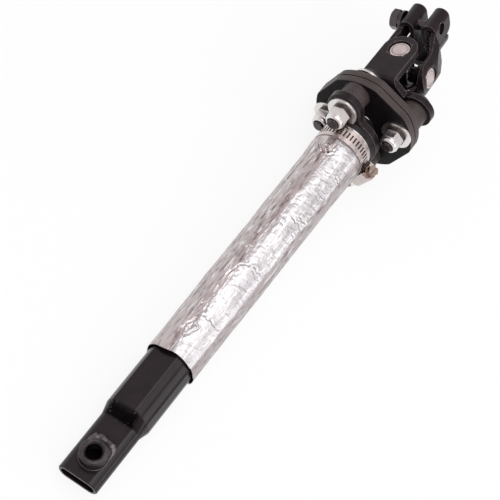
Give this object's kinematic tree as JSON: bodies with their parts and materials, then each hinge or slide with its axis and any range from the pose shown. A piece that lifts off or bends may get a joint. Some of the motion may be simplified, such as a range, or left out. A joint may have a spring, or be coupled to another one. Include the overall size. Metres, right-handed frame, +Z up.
{
  "type": "steering column coupling",
  "caption": "Intermediate steering shaft: telescoping tube in a foil heat shield, rubber coupling disc between two bolted yokes, and a universal joint with a split column clamp.",
  "frame": {"origin": "centre of the lower socket's mouth, on the shaft's axis", "axes": "+X along the shaft from the lower socket to the column clamp, +Z up"},
  "size_m": [0.4242, 0.07, 0.07],
  "materials": {
    "black_paint": "gloss",
    "black_oxide": "satin",
    "bright_steel": "satin",
    "zinc": "satin",
    "stainless": "satin",
    "foil": "gloss",
    "rubber": "matte",
    "nylon": "matte"
  },
  "bodies": {
    "shaft": {"flange_yoke": "black_paint", "inner_shaft": "bright_steel", "heat_shield": "foil", "clamp_band": "stainless", "clamp_housing": "stainless", "clamp_screw": "stainless", "coupling_disc": "rubber", "disc_sleeves": "zinc", "flange_bolts": "black_oxide", "flange_washers": "zinc", "flange_lock_washers": "zinc", "flange_nuts": "zinc", "fork_bolts": "black_oxide", "fork_washers": "zinc", "fork_lock_washers": "zinc", "fork_nuts": "zinc", "nut_inserts": "nylon", "fork_yoke": "black_paint", "fork_caps": "bright_steel", "fork_rollers": "bright_steel", "fork_seals": "rubber"},
    "tube": {"lower_tube": "black_paint", "weld_collar": "black_paint", "slide_bush": "nylon"},
    "cross": {"cross": "black_oxide"},
    "yoke": {"upper_yoke": "black_paint", "yoke_caps": "bright_steel", "yoke_rollers": "bright_steel", "yoke_seals": "rubber", "pinch_bolt": "black_oxide", "pinch_washers": "black_oxide"}
  },
  "joints": [
    {"name": "telescope", "type": "slide", "parent": "shaft", "child": "tube", "axis": [-1, 0, 0], "range_m": [-0.03, 0.025]},
    {"name": "fork_pivot", "type": "hinge", "parent": "shaft", "child": "cross", "pos_m": [0.376, 0, 0], "axis": [0, -0.7071, -0.7071], "range_deg": [-26, 33]},
    {"name": "yoke_pivot", "type": "hinge", "parent": "cross", "child": "yoke", "pos_m": [0.376, 0, 0], "axis": [0.061, -0.7058, 0.7058], "range_deg": [-29, 31]}
  ]
}
